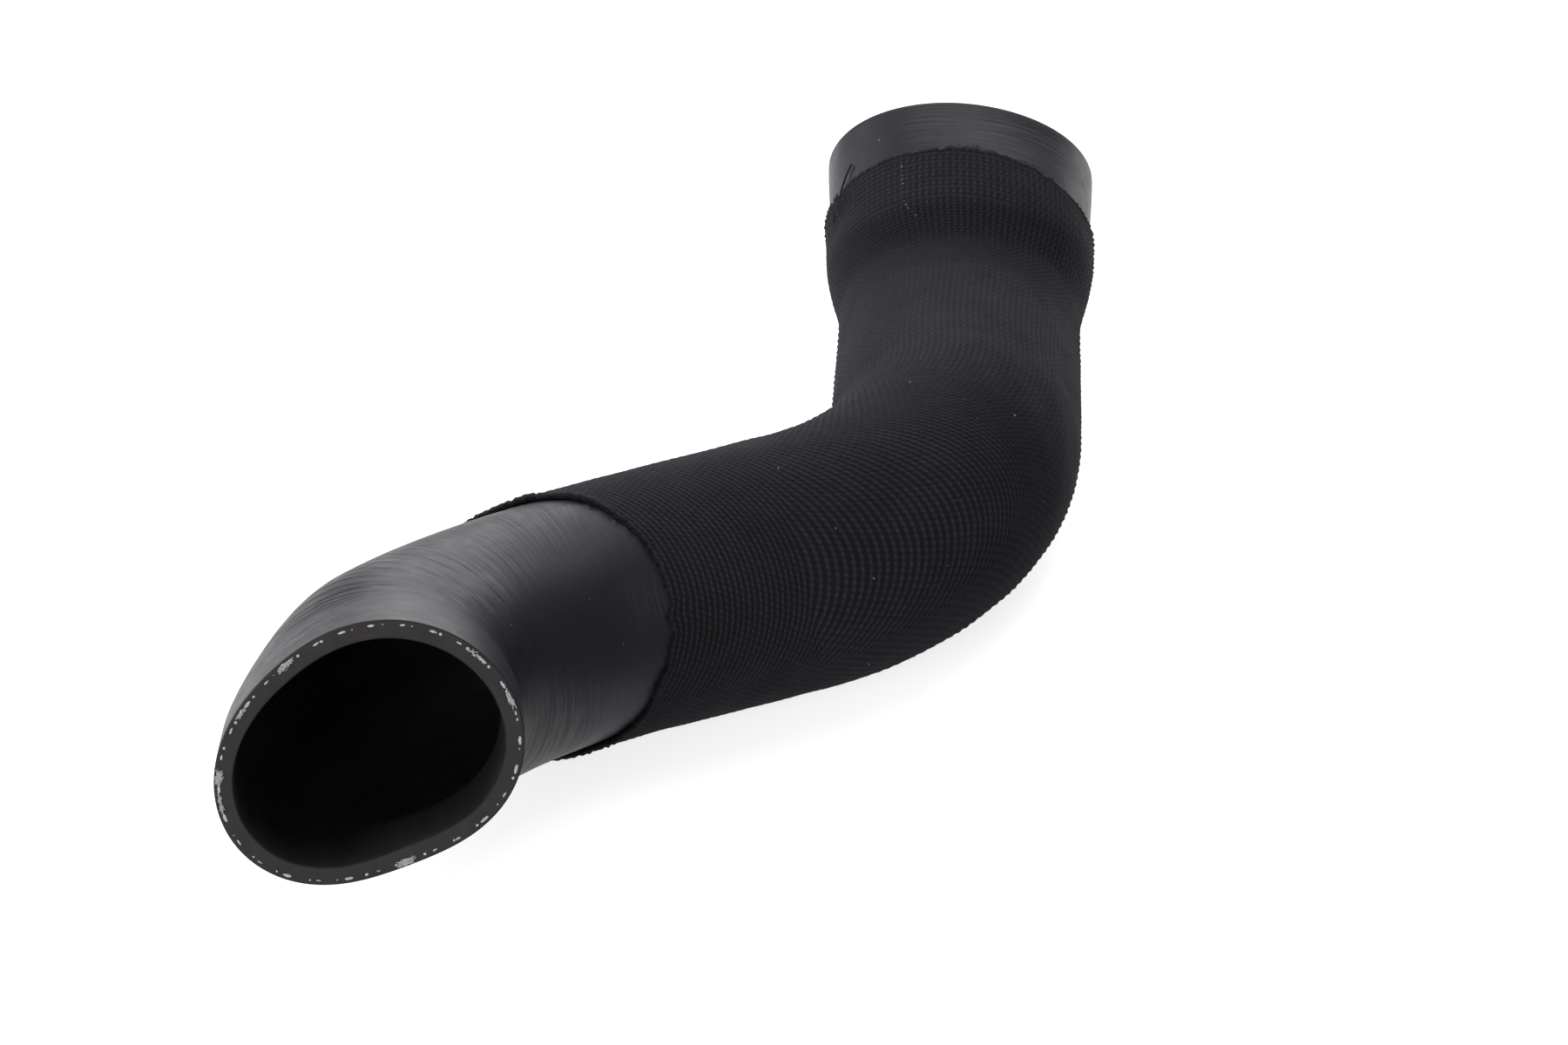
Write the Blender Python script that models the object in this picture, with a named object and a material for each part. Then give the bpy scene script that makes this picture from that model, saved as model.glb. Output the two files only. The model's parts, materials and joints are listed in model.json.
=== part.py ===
"""Turbo hose: a preformed rubber charge air hose with an egg-shaped inlet mouth and a flared
outlet cuff, wearing a knitted textile sleeve over its bends."""

import math

import bmesh
import bpy
import numpy as np

MM = 0.001

# Centreline, from the cut face of the inlet mouth to the cut face of the outlet cuff
MOUTH_RUN = 25.0 * MM
INLET_BEND = math.radians(86.5)
INLET_BEND_RADIUS = 74.0 * MM
LEG_RUN = 44.0 * MM
MAIN_BEND = math.radians(75.5)
MAIN_BEND_RADIUS = 58.0 * MM
NECK_RUN = 42.0 * MM
OUTLET_BEND = math.radians(29.0)
OUTLET_BEND_RADIUS = 80.0 * MM
CUFF_RUN = 36.5 * MM

# How far each bend's plane is turned about the hose from the plane of the bend before it
MAIN_BEND_TURN = math.radians(-162.5)
OUTLET_BEND_TURN = math.radians(97.5)

# Rubber section
MOUTH_DIAMETER = 69.5 * MM
LEG_DIAMETER = 66.0 * MM
NECK_DIAMETER = 66.4 * MM
CUFF_DIAMETER = 75.0 * MM
WALL = 4.8 * MM
FLARE_LENGTH = 24.0 * MM
BARREL_LENGTH = 32.0 * MM

# The inlet mouth is pinched to an egg, which fades out into the round leg
MOUTH_OVALITY = 0.12
MOUTH_OVAL_TURN = math.radians(77.0)
MOUTH_EGG = 0.03
MOUTH_EGG_TURN = math.radians(62.0)
MOUTH_OVAL_FADE = 60.0 * MM

# The outlet cuff's lip is a little out of round
CUFF_OVALITY = 0.06
CUFF_OVAL_TURN = math.radians(-36.0)

# Textile sleeve, drawn over the rubber
SLEEVE_START = 114.0 * MM
SLEEVE_END_INSET = 24.0 * MM
SLEEVE_CLEARANCE = 0.3 * MM
SLEEVE_THICKNESS = 0.6 * MM
RIDGE_HEIGHT = 0.5 * MM
RIDGE_PITCH = 5.0 * MM
EDGE_BEAD = 0.3 * MM

# The knit was dragged towards one side of the hose, and upwards at its far end, so its courses
# run at a slant
DRAG_HEADING = math.radians(-78.0)
NEAR_DRAG_RISE = math.radians(29.0)
FAR_DRAG_RISE = math.radians(109.0)
NEAR_LEAN = 0.95
FAR_LEAN = 0.21

# Fineness of the skins
SIDES = 28
STATION_STEP = 9.5 * MM


def smooth_step(value, low, high):
    """0 before low, 1 after high, and a smooth rise between them."""
    share = min(1.0, max(0.0, (value - low) / (high - low)))
    return share * share * (3 - 2 * share)


def turned(vector, axis, angle):
    """The vector turned about a unit axis by the right-hand rule."""
    along = axis * np.dot(axis, vector)
    return (vector - along) * math.cos(angle) + np.cross(axis, vector) * math.sin(angle) + along


class Centreline:
    """Straight runs and arcs joined in line, with a side direction carried along untwisted."""

    def __init__(self):
        self.stretches = []
        self.length = 0.0
        self.place = np.zeros(3)
        self.ahead = np.array([0.0, 1.0, 0.0])
        self.side = np.array([0.0, 0.0, 1.0])
        self.bend_axis = self.side
        self.mouth_end = self.add_run(MOUTH_RUN)
        self.leg_start = self.add_bend(INLET_BEND, INLET_BEND_RADIUS, 0.0)
        self.leg_end = self.add_run(LEG_RUN)
        leg_ahead = self.ahead
        self.neck_start = self.add_bend(MAIN_BEND, MAIN_BEND_RADIUS, MAIN_BEND_TURN)
        neck_ahead = self.ahead
        self.neck_end = self.add_run(NECK_RUN)
        self.add_bend(OUTLET_BEND, OUTLET_BEND_RADIUS, OUTLET_BEND_TURN)
        self.add_run(CUFF_RUN)
        # The main bend lies level, with the neck along +Y
        up = np.cross(leg_ahead, neck_ahead)
        up = up / np.linalg.norm(up)
        self.level = np.array([np.cross(neck_ahead, up), neck_ahead, up])

    def add_run(self, length):
        self.stretches.append((self.length, length, 0.0, self.place, self.ahead, self.side, None))
        self.place = self.place + self.ahead * length
        self.length += length
        return self.length

    def add_bend(self, angle, radius, turn):
        axis = turned(self.bend_axis, self.ahead, turn)
        arc = (self.length, angle * radius, radius, self.place, self.ahead, self.side, axis)
        self.stretches.append(arc)
        self.place, self.ahead, self.side = self.on_stretch(arc, angle * radius)
        self.bend_axis = axis
        self.length += angle * radius
        return self.length

    @staticmethod
    def on_stretch(stretch, along):
        """Place, direction and side at a distance along one stretch."""
        _, _, radius, place, ahead, side, axis = stretch
        if axis is None:
            return place + ahead * along, ahead, side
        angle = along / radius
        to_centre = np.cross(axis, ahead) * radius
        place = place + to_centre - turned(to_centre, axis, angle)
        return place, turned(ahead, axis, angle), turned(side, axis, angle)

    def at(self, distance):
        """Place, direction and side at a distance from the mouth, with the main bend level."""
        for stretch in self.stretches:
            if distance <= stretch[0] + stretch[1]:
                break
        found = self.on_stretch(stretch, distance - stretch[0])
        return [self.level @ vector for vector in found]


def rubber_radius(line, distance, angle):
    """The rubber's outer radius, on one side of the section at a distance from the mouth."""
    barrel_start = line.length - BARREL_LENGTH
    radius = MOUTH_DIAMETER / 2
    radius += (LEG_DIAMETER - MOUTH_DIAMETER) / 2 * smooth_step(distance, MOUTH_RUN / 2, line.leg_start)
    radius += (NECK_DIAMETER - LEG_DIAMETER) / 2 * smooth_step(distance, line.leg_end, line.neck_start)
    flare = smooth_step(distance, barrel_start - FLARE_LENGTH, barrel_start)
    radius += (CUFF_DIAMETER - NECK_DIAMETER) / 2 * flare
    mouth_share = 1 - smooth_step(distance, line.mouth_end, MOUTH_OVAL_FADE)
    oval = MOUTH_OVALITY * math.cos(2 * (angle - MOUTH_OVAL_TURN))
    egg = MOUTH_EGG * math.cos(3 * (angle - MOUTH_EGG_TURN))
    cuff_share = smooth_step(distance, barrel_start, line.length)
    cuff_oval = CUFF_OVALITY * math.cos(2 * (angle - CUFF_OVAL_TURN))
    return radius * (1 + mouth_share * (oval + egg) + cuff_share * cuff_oval)


def lean(line, distance):
    """Slant of the knit's courses, as travel along the hose for each unit of height across it."""
    sleeve_end = line.length - SLEEVE_END_INSET
    slant = NEAR_LEAN * smooth_step(distance, 0.0, SLEEVE_START)
    slant += (FAR_LEAN - NEAR_LEAN) * smooth_step(distance, line.leg_end, line.neck_start)
    return slant - FAR_LEAN * smooth_step(distance, sleeve_end, line.length)


def ring(line, station, offset):
    """Points around the hose at one station, standing off the rubber's outer surface by offset."""
    turn_share = smooth_step(station, line.neck_start, line.length - SLEEVE_END_INSET)
    rise = NEAR_DRAG_RISE + (FAR_DRAG_RISE - NEAR_DRAG_RISE) * turn_share
    drag = np.array(
        [
            math.cos(rise) * math.cos(DRAG_HEADING),
            math.cos(rise) * math.sin(DRAG_HEADING),
            math.sin(rise),
        ]
    )
    _, ahead, side = line.at(station)
    across = drag - ahead * np.dot(drag, ahead)
    across = across / np.linalg.norm(across)
    reach = lean(line, station) * LEG_DIAMETER / 2
    points = []
    for index in range(SIDES):
        angle = 2 * math.pi * index / SIDES
        radial = turned(side, ahead, angle)
        distance = station + reach * np.dot(radial, across)
        place, ahead_here, side_here = line.at(distance)
        radius = rubber_radius(line, distance, angle) + offset
        points.append(place + turned(side_here, ahead_here, angle) * radius)
    return np.array(points)


def spaced(start, end, step):
    """Stations from start to end, in equal steps near the given one."""
    return list(np.linspace(start, end, max(2, round((end - start) / step) + 1)))


def hose_stations(line):
    """Stations of the bare mouth, of the stretch under the sleeve and of the bare cuff."""
    sleeve_end = line.length - SLEEVE_END_INSET
    mouth = spaced(0.0, SLEEVE_START, STATION_STEP)
    covered = spaced(SLEEVE_START, sleeve_end, STATION_STEP)
    cuff = spaced(sleeve_end, line.length, STATION_STEP)
    return mouth, covered, cuff


def rubber_skins(line):
    mouth, covered, cuff = hose_stations(line)
    stations = mouth + covered[1:] + cuff[1:]
    outer = [ring(line, station, 0.0) for station in stations]
    bore = [ring(line, station, -WALL) for station in stations]
    return outer, bore


def sleeve_skins(line):
    """A ribbed outer skin, with a bead at both cut edges, and a plain lining."""
    _, covered, _ = hose_stations(line)
    lining = [ring(line, station, SLEEVE_CLEARANCE) for station in covered]
    ridges = round((covered[-1] - covered[0]) / RIDGE_PITCH)
    pitch = (covered[-1] - covered[0]) / ridges
    valley = SLEEVE_CLEARANCE + SLEEVE_THICKNESS
    outer = [ring(line, covered[0], valley)]
    for index in range(ridges):
        start = covered[0] + index * pitch
        bead = EDGE_BEAD if index in (0, ridges - 1) else 0.0
        outer.append(ring(line, start + pitch / 2, valley + RIDGE_HEIGHT + bead))
        outer.append(ring(line, start + pitch, valley))
    return outer, lining


def middle_of_mass(skins):
    """Centre of a wall of even thickness, from the area of its outer skin."""
    rings = np.array(skins[0])
    corner = rings[:-1]
    along = rings[1:] - corner
    around = np.roll(corner, -1, axis=1) - corner
    area = np.linalg.norm(np.cross(along, around), axis=2)[..., None]
    centres = corner + (along + around) / 2
    return (centres * area).sum(axis=(0, 1)) / area.sum()


def resting_turn(points, centre):
    """Turn that lays the hose on the face of its hull that is nearest to level and holds its weight."""
    hull = bmesh.new()
    for point in points:
        hull.verts.new(point)
    bmesh.ops.convex_hull(hull, input=hull.verts)
    down = None
    for face in hull.faces:
        normal = np.array(face.normal)
        corners = [np.array(vert.co) for vert in face.verts]
        foot = centre + normal * np.dot(corners[0] - centre, normal)
        inside = all(
            np.dot(np.cross(after - corner, foot - corner), normal) >= 0
            for corner, after in zip(corners, corners[1:] + corners[:1])
        )
        if inside and (down is None or normal[2] < down[2]):
            down = normal
    hull.free()
    up = -down / np.linalg.norm(down)
    ahead = np.array([0.0, 1.0, 0.0])
    ahead = ahead - up * np.dot(ahead, up)
    ahead = ahead / np.linalg.norm(ahead)
    return np.array([np.cross(ahead, up), ahead, up])


def resting_place(rubber, sleeve):
    """The turn that lays the hose down, and the point under its middle that becomes the origin."""
    points = np.concatenate(rubber[0] + sleeve[0])
    turn = resting_turn(points, middle_of_mass(rubber))
    points = points @ turn.T
    low = points.min(axis=0)
    high = points.max(axis=0)
    return turn, np.array([(low[0] + high[0]) / 2, (low[1] + high[1]) / 2, low[2]])


def make_material(name, colour, roughness):
    material = bpy.data.materials.new(name)
    material.use_nodes = True
    shader = material.node_tree.nodes["Principled BSDF"]
    shader.inputs["Base Color"].default_value = (*colour, 1.0)
    shader.inputs["Roughness"].default_value = roughness
    shader.inputs["Metallic"].default_value = 0.0
    return material


def add_bands(mesh, rings, faces_out):
    """Faces between each ring of points and the next."""
    for ring_a, ring_b in zip(rings, rings[1:]):
        for index in range(SIDES):
            after = (index + 1) % SIDES
            if faces_out:
                mesh.faces.new((ring_a[index], ring_a[after], ring_b[after], ring_b[index]))
            else:
                mesh.faces.new((ring_a[index], ring_b[index], ring_b[after], ring_a[after]))


def make_wall(name, skins, material, collection):
    """A closed wall lofted through two skins of rings, joined by a flat face at each end."""
    mesh = bmesh.new()
    outer, inner = [[[mesh.verts.new(point) for point in points] for points in skin] for skin in skins]
    add_bands(mesh, outer, True)
    add_bands(mesh, inner, False)
    add_bands(mesh, [inner[0], outer[0]], True)
    add_bands(mesh, [outer[-1], inner[-1]], True)
    bmesh.ops.recalc_face_normals(mesh, faces=mesh.faces)
    data = bpy.data.meshes.new(name)
    mesh.to_mesh(data)
    mesh.free()
    data.materials.append(material)
    data.shade_smooth()
    data.set_sharp_from_angle(angle=math.radians(50))
    wall = bpy.data.objects.new(name, data)
    collection.objects.link(wall)
    return wall


def main():
    for old in list(bpy.data.objects):
        bpy.data.objects.remove(old, do_unlink=True)
    collection = bpy.data.collections.new("turbo_hose")
    bpy.context.scene.collection.children.link(collection)

    line = Centreline()
    rubber = rubber_skins(line)
    sleeve = sleeve_skins(line)
    turn, origin = resting_place(rubber, sleeve)

    rubber_black = make_material("moulded_rubber", (0.036, 0.038, 0.043), 0.5)
    knit_black = make_material("knitted_textile", (0.017, 0.016, 0.019), 0.9)
    for name, skins, material in (
        ("rubber_hose", rubber, rubber_black),
        ("textile_sleeve", sleeve, knit_black),
    ):
        seated = [[points @ turn.T - origin for points in skin] for skin in skins]
        make_wall(name, seated, material, collection)


main()
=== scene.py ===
import json
import math

import bpy
import numpy as np
from mathutils import Matrix, Vector


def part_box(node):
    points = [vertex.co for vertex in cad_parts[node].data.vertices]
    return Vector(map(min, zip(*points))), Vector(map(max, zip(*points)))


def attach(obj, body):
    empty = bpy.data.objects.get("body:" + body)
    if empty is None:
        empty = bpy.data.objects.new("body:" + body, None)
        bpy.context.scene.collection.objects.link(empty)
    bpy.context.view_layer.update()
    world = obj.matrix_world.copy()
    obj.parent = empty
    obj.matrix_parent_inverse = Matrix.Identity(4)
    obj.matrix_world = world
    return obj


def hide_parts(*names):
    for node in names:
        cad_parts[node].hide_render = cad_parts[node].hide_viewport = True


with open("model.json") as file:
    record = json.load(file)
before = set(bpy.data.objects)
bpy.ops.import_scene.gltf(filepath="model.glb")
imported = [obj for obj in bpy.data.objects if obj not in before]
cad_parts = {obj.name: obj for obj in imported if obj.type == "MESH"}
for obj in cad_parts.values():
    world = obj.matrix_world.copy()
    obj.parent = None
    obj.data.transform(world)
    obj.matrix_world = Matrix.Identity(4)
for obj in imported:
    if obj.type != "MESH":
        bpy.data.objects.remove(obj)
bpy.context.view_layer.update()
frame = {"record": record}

# Rubber hose
# One black rubber moulding, cured on a bent mandrel under a wound tape whose fine ribs and creases
# stay printed on it. The mouth has gone egg-shaped, the far end flares out, and both ends are cut.
MM = 0.001
RUN_BEND_RADIUS_TURN = (
    (25.0 * MM, math.radians(86.5), 74.0 * MM, 0.0),
    (44.0 * MM, math.radians(75.5), 58.0 * MM, math.radians(-162.5)),
    (42.0 * MM, math.radians(29.0), 80.0 * MM, math.radians(97.5)),
    (36.5 * MM, 0.0, 0.0, 0.0),
)
MOUTH_RADIUS = 34.75 * MM
LEG_RADIUS = 33.0 * MM
NECK_RADIUS = 33.2 * MM
CUFF_RADIUS = 37.5 * MM
WALL = 4.8 * MM
FLARE_LENGTH = 24.0 * MM
BARREL_LENGTH = 32.0 * MM
MOUTH_OVAL = (0.12, math.radians(77.0))
MOUTH_EGG = (0.03, math.radians(62.0))
OVAL_FADE = 60.0 * MM
CUFF_OVAL = (0.06, math.radians(-36.0))
LIP_ROUND = 0.35 * MM


def smooth_step(value, low, high):
    share = np.clip((value - low) / (high - low), 0, 1)
    return share * share * (3 - 2 * share)


def turned(vector, axis, angle):
    """Vectors turned about a unit axis by the right-hand rule."""
    angle = np.asarray(angle)[..., None]
    along = axis * np.sum(axis * vector, -1, keepdims=True)
    return (vector - along) * np.cos(angle) + np.cross(axis, vector) * np.sin(angle) + along


def hose_path():
    """The hose's straight runs and arcs, with a side direction carried along untwisted."""
    stretches = []
    start = 0.0
    place, ahead = np.zeros(3), np.array([0.0, 1.0, 0.0])
    side = bend_axis = np.array([0.0, 0.0, 1.0])
    for run, bend, radius, turn in RUN_BEND_RADIUS_TURN:
        stretches.append((start, run, None, place, ahead, side, bend_axis))
        place, start = place + ahead * run, start + run
        if bend:
            bend_axis = turned(bend_axis, ahead, turn)
            stretches.append((start, bend * radius, radius, place, ahead, side, bend_axis))
            to_centre = np.cross(bend_axis, ahead) * radius
            place = place + to_centre - turned(to_centre, bend_axis, bend)
            ahead, side = turned(ahead, bend_axis, bend), turned(side, bend_axis, bend)
            start += bend * radius
    return stretches, start


STRETCHES, HOSE_LENGTH = hose_path()
LEG_START, LEG_END, NECK_START = STRETCHES[2][0], STRETCHES[3][0], STRETCHES[4][0]


def path_at(distance):
    """Place, direction and side at each distance from the mouth, before the hose is laid down."""
    distance = np.asarray(distance, float)
    shape = distance.shape + (3,)
    place, ahead, side = np.zeros(shape), np.zeros(shape), np.zeros(shape)
    for index, (start, length, radius, place0, ahead0, side0, axis) in enumerate(STRETCHES):
        last = index == len(STRETCHES) - 1
        here = (distance >= start) if last else (distance >= start) & (distance < start + length)
        if index == 0:
            here |= distance < start
        along = distance[here] - start
        if radius is None:
            place[here] = place0 + ahead0 * along[:, None]
            ahead[here], side[here] = ahead0, side0
        else:
            to_centre = np.cross(axis, ahead0) * radius
            place[here] = place0 + to_centre - turned(to_centre, axis, along / radius)
            ahead[here] = turned(ahead0, axis, along / radius)
            side[here] = turned(side0, axis, along / radius)
    return place, ahead, side


def rubber_radius(distance, angle):
    """The rubber's outer radius, on one side of the section at a distance from the mouth."""
    barrel_start = HOSE_LENGTH - BARREL_LENGTH
    radius = MOUTH_RADIUS + (LEG_RADIUS - MOUTH_RADIUS) * smooth_step(
        distance, RUN_BEND_RADIUS_TURN[0][0] / 2, LEG_START
    )
    radius = radius + (NECK_RADIUS - LEG_RADIUS) * smooth_step(distance, LEG_END, NECK_START)
    radius = radius + (CUFF_RADIUS - NECK_RADIUS) * smooth_step(
        distance, barrel_start - FLARE_LENGTH, barrel_start
    )
    mouth_share = 1 - smooth_step(distance, RUN_BEND_RADIUS_TURN[0][0], OVAL_FADE)
    oval = MOUTH_OVAL[0] * np.cos(2 * (angle - MOUTH_OVAL[1]))
    egg = MOUTH_EGG[0] * np.cos(3 * (angle - MOUTH_EGG[1]))
    cuff = smooth_step(distance, barrel_start, HOSE_LENGTH)
    cuff = cuff * CUFF_OVAL[0] * np.cos(2 * (angle - CUFF_OVAL[1]))
    return radius * (1 + mouth_share * (oval + egg) + cuff)


def lie_down():
    """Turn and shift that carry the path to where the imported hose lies, from its two cut faces."""
    found = {m["name"]: m for m in frame["record"]["mounts"]}
    _, ahead, _ = path_at(np.array([0.0, HOSE_LENGTH]))
    mine = np.array([-ahead[0], ahead[1]])
    real = np.array([found[name]["axis"] for name in ("inlet_face", "outlet_face")])

    def axes(pair):
        first = pair[0] / np.linalg.norm(pair[0])
        third = np.cross(pair[0], pair[1])
        third = third / np.linalg.norm(third)
        return np.array([first, np.cross(third, first), third])

    turn = axes(real).T @ axes(mine)
    distance, angle = np.meshgrid(
        np.linspace(0, HOSE_LENGTH, 160), np.linspace(0, 2 * math.pi, 180, endpoint=False), indexing="ij"
    )
    place, ahead, side = path_at(distance)
    skin = place + turned(side, ahead, angle) * rubber_radius(distance, angle)[..., None]
    skin = skin.reshape(-1, 3) @ turn.T
    low, high = (np.array(corner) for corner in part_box("rubber_hose"))
    middle = (low + high) / 2 - (skin.min(0) + skin.max(0)) / 2
    return turn, middle


TURN, SHIFT = lie_down()


def on_hose(distance, angle, offset):
    """Points standing off the rubber's outer surface by offset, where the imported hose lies."""
    distance, angle, offset = np.broadcast_arrays(distance, angle, offset)
    place, ahead, side = path_at(distance)
    radius = rubber_radius(distance, angle) + offset
    points = place + turned(side, ahead, angle) * radius[..., None]
    return points @ TURN.T + SHIFT


def round_the_hose(sides):
    return np.linspace(0, 2 * math.pi, sides, endpoint=False)


def loft(name, points, along, closed_along):
    """A mesh through a grid of points that closes round the hose, and along it where asked.

    Its attribute "straight" holds each point's place on the hose as if it were pulled straight."""
    rows, sides = points.shape[:2]
    bands = rows if closed_along else rows - 1
    row, side = np.arange(bands)[:, None], np.arange(sides)[None]
    row_after, side_after = (row + 1) % rows, (side + 1) % sides
    corners = [row * sides + side, row * sides + side_after]
    corners += [row_after * sides + side_after, row_after * sides + side]
    corners = np.stack(corners, -1).reshape(-1, 4)
    mesh = bpy.data.meshes.new(name)
    mesh.vertices.add(rows * sides)
    mesh.vertices.foreach_set("co", points.reshape(-1).astype(np.float32))
    mesh.loops.add(corners.size)
    mesh.loops.foreach_set("vertex_index", corners.ravel().astype(np.int32))
    mesh.polygons.add(len(corners))
    mesh.polygons.foreach_set("loop_start", np.arange(0, corners.size, 4, dtype=np.int32))
    mesh.update(calc_edges=True)
    angle = round_the_hose(sides)[None]
    straight = [LEG_RADIUS * np.cos(angle), LEG_RADIUS * np.sin(angle), np.reshape(along, (-1, 1))]
    straight = np.stack(np.broadcast_arrays(*straight), -1)
    layer = mesh.attributes.new("straight", "FLOAT_VECTOR", "POINT")
    layer.data.foreach_set("vector", straight.reshape(-1).astype(np.float32))
    mesh.shade_smooth()
    made = bpy.data.objects.new(name, mesh)
    bpy.context.scene.collection.objects.link(made)
    return made


def note(piece, name, values):
    """Keeps one number, or one direction, for each point of a piece."""
    values = np.asarray(values, np.float32)
    kind, field = ("FLOAT_VECTOR", "vector") if values.ndim == 2 else ("FLOAT", "value")
    layer = piece.data.attributes.new(name, kind, "POINT")
    layer.data.foreach_set(field, values.reshape(-1))


def socket(sockets, name):
    """A node's input or output by the name that it shows, and not by its place."""
    return next(found for found in sockets if found.name == name and found.enabled)


class Nodes:
    """A node tree, with short ways to add nodes to it and to join them."""

    def __init__(self, tree):
        self.tree = tree

    def add(self, kind, inputs=None, **settings):
        node = self.tree.nodes.new(kind)
        for key, value in settings.items():
            setattr(node, key, value)
        for key, value in (inputs or {}).items():
            target = node.inputs[key] if isinstance(key, int) else socket(node.inputs, key)
            if isinstance(value, bpy.types.NodeSocket):
                self.tree.links.new(value, target)
            else:
                target.default_value = value
        return node

    def sum(self, operation, first, second=0.0, third=0.0):
        inputs = {0: first, 1: second, 2: third}
        return self.add("ShaderNodeMath", inputs, operation=operation).outputs[0]

    def noise(self, vector, scale, detail=3.0, roughness=0.55):
        inputs = {"Vector": vector, "Scale": scale, "Detail": detail, "Roughness": roughness}
        return self.add("ShaderNodeTexNoise", inputs).outputs[0]


class Finish(Nodes):
    """A material, whose pattern follows the hose or lies in its place."""

    def __init__(self, name):
        self.material = bpy.data.materials.new(name)
        self.material.use_nodes = True
        super().__init__(self.material.node_tree)
        self.shader = self.tree.nodes["Principled BSDF"]

    def join(self, source, name):
        self.tree.links.new(source, socket(self.shader.inputs, name))

    def plain(self, **values):
        for name, value in values.items():
            socket(self.shader.inputs, name.replace("_", " ")).default_value = value

    def attribute(self, name, output="Vector"):
        return self.add("ShaderNodeAttribute", attribute_name=name).outputs[output]

    def place(self):
        return self.add("ShaderNodeTexCoord").outputs["Object"]

    def stretched(self, vector, around, along):
        """Coordinates in which one unit is 1/around metres round the hose and 1/along down it."""
        return self.add("ShaderNodeMapping", {"Vector": vector, "Scale": (around, around, along)}).outputs[0]

    def span(self, value, low, high, to_low=0.0, to_high=1.0):
        inputs = {"Value": value, "From Min": low, "From Max": high, "To Min": to_low, "To Max": to_high}
        return self.add("ShaderNodeMapRange", inputs).outputs["Result"]

    def mix(self, share, first, second):
        colours = [c if isinstance(c, bpy.types.NodeSocket) else (*c, 1.0) for c in (first, second)]
        inputs = {0: share, 6: colours[0], 7: colours[1]}
        return self.add("ShaderNodeMix", inputs, data_type="RGBA").outputs[2]

    def bump(self, height, distance, strength=1.0, under=None):
        inputs = {"Height": height, "Distance": distance, "Strength": strength}
        if under is not None:
            inputs["Normal"] = under
        return self.add("ShaderNodeBump", inputs).outputs["Normal"]


# Where the tape's creases are deep: distance in mm, side in degrees, their reach, and their depth
CREASED = (
    (58, 216, 24, 34, 1.0),
    (90, 312, 20, 26, 0.8),
    (44, 172, 24, 36, 0.5),
    (108, 120, 20, 40, 0.35),
    (30, 40, 16, 40, 0.4),
)
CREASE_RELIEF = 0.15 * MM


def creases(distance, angle):
    depth = np.full(np.broadcast(distance, angle).shape, 0.10)
    for place, side, reach, spread, share in CREASED:
        away = (np.degrees(angle) - side + 180) % 360 - 180
        depth += share * np.exp(-(((distance / MM - place) / reach) ** 2) - (away / spread) ** 2)
    return np.minimum(depth, 1.0)


def wander(first, second, seed, waves=7):
    """A smooth wander between -1 and 1 over two running numbers, always the same."""
    dice = np.random.default_rng(seed)
    total = 0.0
    for _ in range(waves):
        pace_first, pace_second = dice.uniform(-1, 1, 2)
        total = total + np.sin(first * pace_first + second * pace_second + dice.uniform(0, 2 * math.pi))
    return total / math.sqrt(waves) / 1.6


def crease_height(distance, angle):
    """How far the rubber stands proud between its creases, on the bare length before the sleeve."""
    rough = wander(distance / (0.42 * MM), 7 * np.cos(angle - 0.7) + 4 * np.sin(2 * angle), 61, 14)
    bare = smooth_step(distance, 2 * MM, 10 * MM) * (1 - smooth_step(distance, 130 * MM, 148 * MM))
    return CREASE_RELIEF * rough * creases(distance, angle) * bare


def rubber_finish():
    """Charcoal rubber with a satin skin, the tape's fine ribs and creases, and a few pale scuffs."""
    finish = Finish("moulded_rubber")
    straight, place = finish.attribute("straight"), finish.place()
    depth = finish.attribute("creased", "Fac")
    ribs = finish.noise(finish.stretched(straight, 34.0, 950.0), 1.0, 2.0, 0.6)
    patches = finish.span(finish.noise(place, 34.0, 2.0), 0.4, 0.65, 0.45, 1.0)
    creased = finish.noise(finish.stretched(straight, 78.0, 420.0), 1.0, 1.0, 0.4)
    grain = finish.noise(place, 2300.0, 4.0, 0.65)
    under = finish.bump(finish.sum("MULTIPLY", creased, depth), 0.65 * MM, 1.0)
    under = finish.bump(finish.sum("MULTIPLY", ribs, patches), 0.20 * MM, 0.9, under)
    finish.join(finish.bump(grain, 0.03 * MM, 0.35, under), "Normal")
    clouds = finish.span(finish.noise(place, 22.0, 4.0, 0.6), 0.3, 0.7)
    skin = finish.mix(clouds, (0.0115, 0.0098, 0.0180), (0.0185, 0.0162, 0.0265))
    scratch = finish.noise(finish.stretched(straight, 520.0, 60.0), 1.0, 3.0, 0.6)
    where = finish.span(finish.noise(place, 60.0, 1.0), 0.58, 0.66)
    scratch = finish.sum("MULTIPLY", finish.span(scratch, 0.70, 0.76), where)
    finish.join(finish.mix(scratch, skin, (0.07, 0.07, 0.075)), "Base Color")
    finish.join(finish.span(finish.noise(place, 150.0, 5.0, 0.7), 0.3, 0.75, 0.40, 0.54), "Roughness")
    return finish.material


def cut_rubber_finish():
    """The knife-cut face: duller and a little browner than the skin, with the blade's fine drag."""
    finish = Finish("cut_rubber")
    place = finish.place()
    speckle = finish.noise(place, 1300.0, 4.0, 0.7)
    tone = finish.span(finish.noise(place, 220.0, 4.0, 0.6), 0.3, 0.7)
    finish.join(finish.mix(tone, (0.046, 0.041, 0.042), (0.058, 0.052, 0.053)), "Base Color")
    finish.join(finish.bump(speckle, 0.04 * MM, 0.3), "Normal")
    finish.plain(Roughness=0.78, Specular_IOR_Level=0.35)
    return finish.material


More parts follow.
